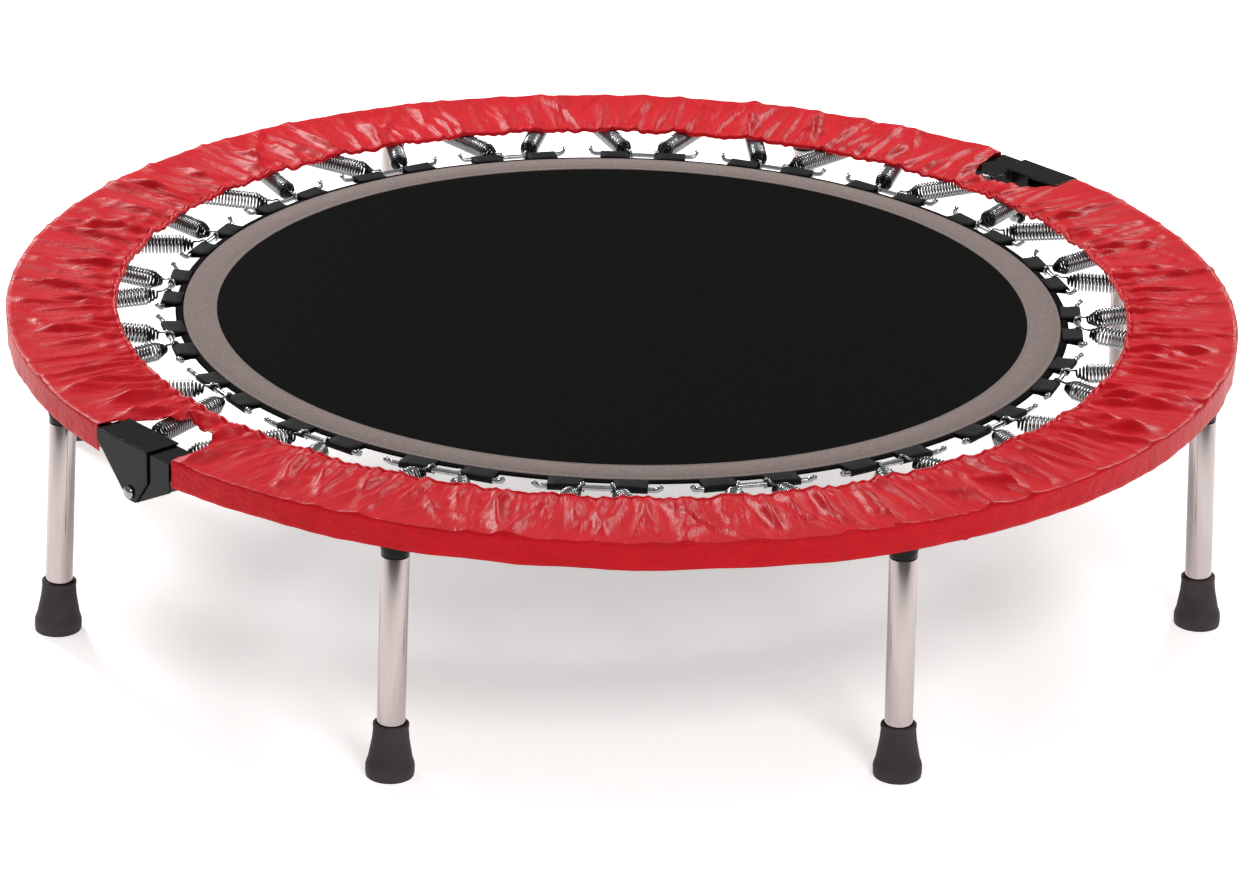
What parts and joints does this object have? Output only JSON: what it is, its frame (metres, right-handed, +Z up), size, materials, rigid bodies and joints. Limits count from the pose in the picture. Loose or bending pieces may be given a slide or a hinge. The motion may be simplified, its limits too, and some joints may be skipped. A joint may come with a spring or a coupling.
{
  "type": "mini trampoline",
  "caption": "Round mini trampoline that folds in half: hinged tube frame, screw-on legs with rubber feet, sprung mat and a loose fabric spring cover.",
  "frame": {"origin": "on the floor under the centre of the mat", "axes": "+Z up; +X along the fold line, towards the hinge whose outer bracket is on the front half; +Y towards the rear half, which is the root"},
  "size_m": [1.2312, 1.219, 0.2521],
  "materials": {
    "powder_coat": "gloss black powder coat",
    "bolt_steel": "zinc plated",
    "mat_fabric": "matte woven polypropylene",
    "border_tape": "woven tape",
    "cover_fabric": "red woven nylon, slightly glossy",
    "spring_steel": "polished galvanised wire",
    "leg_chrome": "polished chrome plate",
    "rubber": "matte moulded"
  },
  "bodies": {
    "rear_half": {"frame_tube_rear": "powder_coat", "mat_rear": "mat_fabric", "mat_border_rear": "border_tape", "cover_rear": "cover_fabric", "hinge_outer_left": "powder_coat", "hinge_inner_right": "powder_coat", "hinge_bolt_left": "bolt_steel", "hinge_nut_left": "bolt_steel", "spring_pair_01": "spring_steel", "spring_pair_02": "spring_steel", "spring_pair_03": "spring_steel", "spring_pair_04": "spring_steel", "spring_pair_05": "spring_steel", "spring_pair_06": "spring_steel", "spring_pair_07": "spring_steel", "spring_pair_08": "spring_steel", "spring_pair_09": "spring_steel", "spring_pair_10": "spring_steel"},
    "front_half": {"frame_tube_front": "powder_coat", "mat_front": "mat_fabric", "mat_border_front": "border_tape", "cover_front": "cover_fabric", "hinge_outer_right": "powder_coat", "hinge_inner_left": "powder_coat", "hinge_bolt_right": "bolt_steel", "hinge_nut_right": "bolt_steel", "spring_pair_11": "spring_steel", "spring_pair_12": "spring_steel", "spring_pair_13": "spring_steel", "spring_pair_14": "spring_steel", "spring_pair_15": "spring_steel", "spring_pair_16": "spring_steel", "spring_pair_17": "spring_steel", "spring_pair_18": "spring_steel", "spring_pair_19": "spring_steel", "spring_pair_20": "spring_steel"},
    "leg_1_set": {"leg_1": "leg_chrome", "foot_1": "rubber"},
    "leg_2_set": {"leg_2": "leg_chrome", "foot_2": "rubber"},
    "leg_3_set": {"leg_3": "leg_chrome", "foot_3": "rubber"},
    "leg_4_set": {"leg_4": "leg_chrome", "foot_4": "rubber"},
    "leg_5_set": {"leg_5": "leg_chrome", "foot_5": "rubber"},
    "leg_6_set": {"leg_6": "leg_chrome", "foot_6": "rubber"},
    "leg_7_set": {"leg_7": "leg_chrome", "foot_7": "rubber"},
    "leg_8_set": {"leg_8": "leg_chrome", "foot_8": "rubber"}
  },
  "joints": [
    {"name": "fold", "type": "hinge", "parent": "rear_half", "child": "front_half", "pos_m": [0, 0, 0.203], "axis": [1, 0, 0], "range_deg": [0, 135]},
    {"name": "leg_1_unscrew", "type": "slide", "parent": "rear_half", "child": "leg_1_set", "axis": [0.0385, 0.0205, -0.999], "range_m": [0, 0.04]},
    {"name": "leg_2_unscrew", "type": "slide", "parent": "rear_half", "child": "leg_2_set", "axis": [0.0128, 0.0417, -0.999], "range_m": [0, 0.04]},
    {"name": "leg_3_unscrew", "type": "slide", "parent": "rear_half", "child": "leg_3_set", "axis": [-0.0205, 0.0385, -0.999], "range_m": [0, 0.04]},
    {"name": "leg_4_unscrew", "type": "slide", "parent": "rear_half", "child": "leg_4_set", "axis": [-0.0421, 0.0113, -0.999], "range_m": [0, 0.04]},
    {"name": "leg_5_unscrew", "type": "slide", "parent": "front_half", "child": "leg_5_set", "axis": [-0.0385, -0.0205, -0.999], "range_m": [0, 0.04]},
    {"name": "leg_6_unscrew", "type": "slide", "parent": "front_half", "child": "leg_6_set", "axis": [-0.0128, -0.0417, -0.999], "range_m": [0, 0.04]},
    {"name": "leg_7_unscrew", "type": "slide", "parent": "front_half", "child": "leg_7_set", "axis": [0.0205, -0.0385, -0.999], "range_m": [0, 0.04]},
    {"name": "leg_8_unscrew", "type": "slide", "parent": "front_half", "child": "leg_8_set", "axis": [0.0421, -0.0113, -0.999], "range_m": [0, 0.04]}
  ]
}
